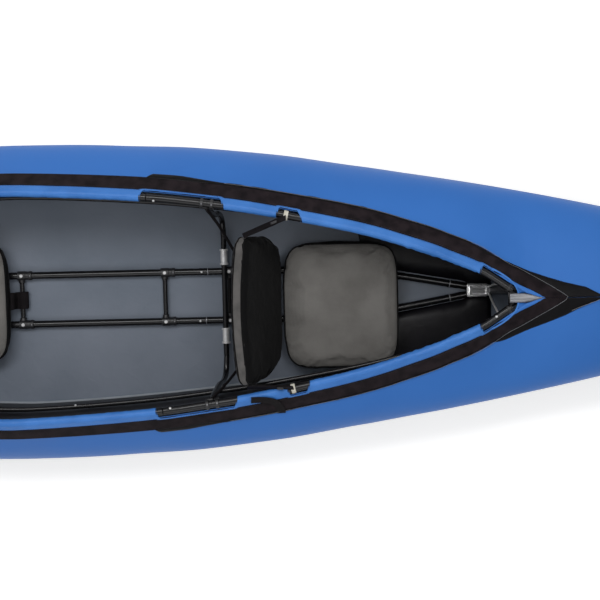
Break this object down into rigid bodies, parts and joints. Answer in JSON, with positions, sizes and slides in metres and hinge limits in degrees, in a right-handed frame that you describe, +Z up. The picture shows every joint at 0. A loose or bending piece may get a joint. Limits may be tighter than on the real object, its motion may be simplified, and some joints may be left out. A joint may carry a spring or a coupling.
{
  "type": "folding kayak",
  "caption": "Tandem folding kayak: a take-apart tube frame in a fabric hull with inflated side chambers, an open cockpit, padded seats with folding backs, air valves and carry handles.",
  "frame": {"origin": "under the middle of the hull's length, on its centre plane, at the level stretch of the bottom", "axes": "+X towards the bow, +Y to port, +Z up"},
  "size_m": [4.67, 0.924, 0.4016],
  "materials": {
    "hull_top_fabric": "satin coated",
    "hull_bottom_fabric": "satin coated",
    "black_fabric": "matte",
    "bladder_film": "satin film",
    "black_plastic": "satin",
    "black_tube": "black anodised",
    "silver_metal": "satin",
    "cushion_mesh": "matte mesh",
    "backrest_fabric": "matte",
    "pale_webbing": "woven",
    "black_webbing": "woven"
  },
  "bodies": {
    "kayak": {"port_side_skin": "hull_top_fabric", "starboard_side_skin": "hull_top_fabric", "port_gunwale_sleeve": "hull_top_fabric", "starboard_gunwale_sleeve": "hull_top_fabric", "bow_gusset": "hull_top_fabric", "stern_gusset": "hull_top_fabric", "bottom_skin": "hull_bottom_fabric", "port_inner_wall": "black_fabric", "starboard_inner_wall": "black_fabric", "hook_tape": "black_fabric", "fore_flap": "black_fabric", "port_side_chamber": "bladder_film", "starboard_side_chamber": "bladder_film", "port_valve": "black_plastic", "starboard_valve": "black_plastic", "port_gunwale_fore": "black_tube", "port_gunwale_aft": "black_tube", "starboard_gunwale_fore": "black_tube", "starboard_gunwale_aft": "black_tube", "port_stringer": "black_tube", "starboard_stringer": "black_tube", "port_keel_tube": "black_tube", "starboard_keel_tube": "black_tube", "front_seat_rung": "black_tube", "fore_rung": "black_tube", "middle_rung": "black_tube", "rear_seat_rung": "black_tube", "aft_rung": "black_tube", "front_rib_bar": "black_tube", "front_rib_port_arm": "black_tube", "front_rib_starboard_arm": "black_tube", "rear_rib_bar": "black_tube", "rear_rib_port_arm": "black_tube", "rear_rib_starboard_arm": "black_tube", "bow_keel_connector": "silver_metal", "stern_keel_connector": "silver_metal", "bow_stem_frame": "silver_metal", "stern_stem_frame": "silver_metal", "front_cushion": "cushion_mesh", "rear_cushion": "cushion_mesh", "front_seat_port_strap": "pale_webbing", "front_seat_starboard_strap": "pale_webbing", "rear_seat_port_strap": "pale_webbing", "rear_seat_starboard_strap": "pale_webbing", "front_seat_port_tether": "black_webbing", "front_seat_starboard_tether": "black_webbing", "rear_seat_rung_strap": "black_webbing"},
    "front_seat_back": {"front_backrest": "backrest_fabric"},
    "rear_seat_back": {"rear_backrest": "backrest_fabric"},
    "bow_handle": {"bow_carry_handle": "black_plastic"},
    "stern_handle": {"stern_carry_handle": "black_plastic"},
    "port_cap": {"port_valve_cap": "black_plastic"},
    "starboard_cap": {"starboard_valve_cap": "black_plastic"},
    "front_port_sleeve": {"front_rib_port_lock": "silver_metal"},
    "front_starboard_sleeve": {"front_rib_starboard_lock": "silver_metal"},
    "rear_port_sleeve": {"rear_rib_port_lock": "silver_metal"},
    "rear_starboard_sleeve": {"rear_rib_starboard_lock": "silver_metal"},
    "port_button": {"port_gunwale_button": "silver_metal"},
    "starboard_button": {"starboard_gunwale_button": "silver_metal"}
  },
  "joints": [
    {"name": "front_back_fold", "type": "hinge", "parent": "kayak", "child": "front_seat_back", "pos_m": [0.60827, -0.022, 0.088], "axis": [0, 1, 0], "range_deg": [0, 22], "deforming": ["front_seat_port_strap", "front_seat_starboard_strap"]},
    {"name": "rear_back_fold", "type": "hinge", "parent": "kayak", "child": "rear_seat_back", "pos_m": [-0.55973, 0, 0.088], "axis": [0, 1, 0], "range_deg": [0, 98], "deforming": ["rear_seat_port_strap", "rear_seat_starboard_strap"]},
    {"name": "bow_handle_lift", "type": "hinge", "parent": "kayak", "child": "bow_handle", "pos_m": [2.0865, 0, 0.3724], "axis": [0, 1, 0], "range_deg": [0, 135]},
    {"name": "stern_handle_lift", "type": "hinge", "parent": "kayak", "child": "stern_handle", "pos_m": [-2.1165, 0, 0.3724], "axis": [0, -1, 0], "range_deg": [0, 135]},
    {"name": "port_cap_turn", "type": "hinge", "parent": "kayak", "child": "port_cap", "pos_m": [-1.17695, 0.28637, 0.26126], "axis": [-0.1365, 0.5833, 0.8007], "range_deg": [0, 270]},
    {"name": "starboard_cap_turn", "type": "hinge", "parent": "kayak", "child": "starboard_cap", "pos_m": [-1.17695, -0.28637, 0.26126], "axis": [-0.1365, -0.5833, 0.8007], "range_deg": [0, 270]},
    {"name": "front_port_sleeve_slide", "type": "slide", "parent": "kayak", "child": "front_port_sleeve", "axis": [0, 1, 0], "range_m": [0, 0.03]},
    {"name": "front_starboard_sleeve_slide", "type": "slide", "parent": "kayak", "child": "front_starboard_sleeve", "axis": [0, -1, 0], "range_m": [0, 0.03]},
    {"name": "rear_port_sleeve_slide", "type": "slide", "parent": "kayak", "child": "rear_port_sleeve", "axis": [0, 1, 0], "range_m": [0, 0.03]},
    {"name": "rear_starboard_sleeve_slide", "type": "slide", "parent": "kayak", "child": "rear_starboard_sleeve", "axis": [0, -1, 0], "range_m": [0, 0.03]},
    {"name": "port_button_press", "type": "slide", "parent": "kayak", "child": "port_button", "axis": [0, 0.6428, -0.766], "range_m": [0, 0.0025], "stiffness_N_per_m": 600},
    {"name": "starboard_button_press", "type": "slide", "parent": "kayak", "child": "starboard_button", "axis": [0, -0.6428, -0.766], "range_m": [0, 0.0025], "stiffness_N_per_m": 600}
  ]
}
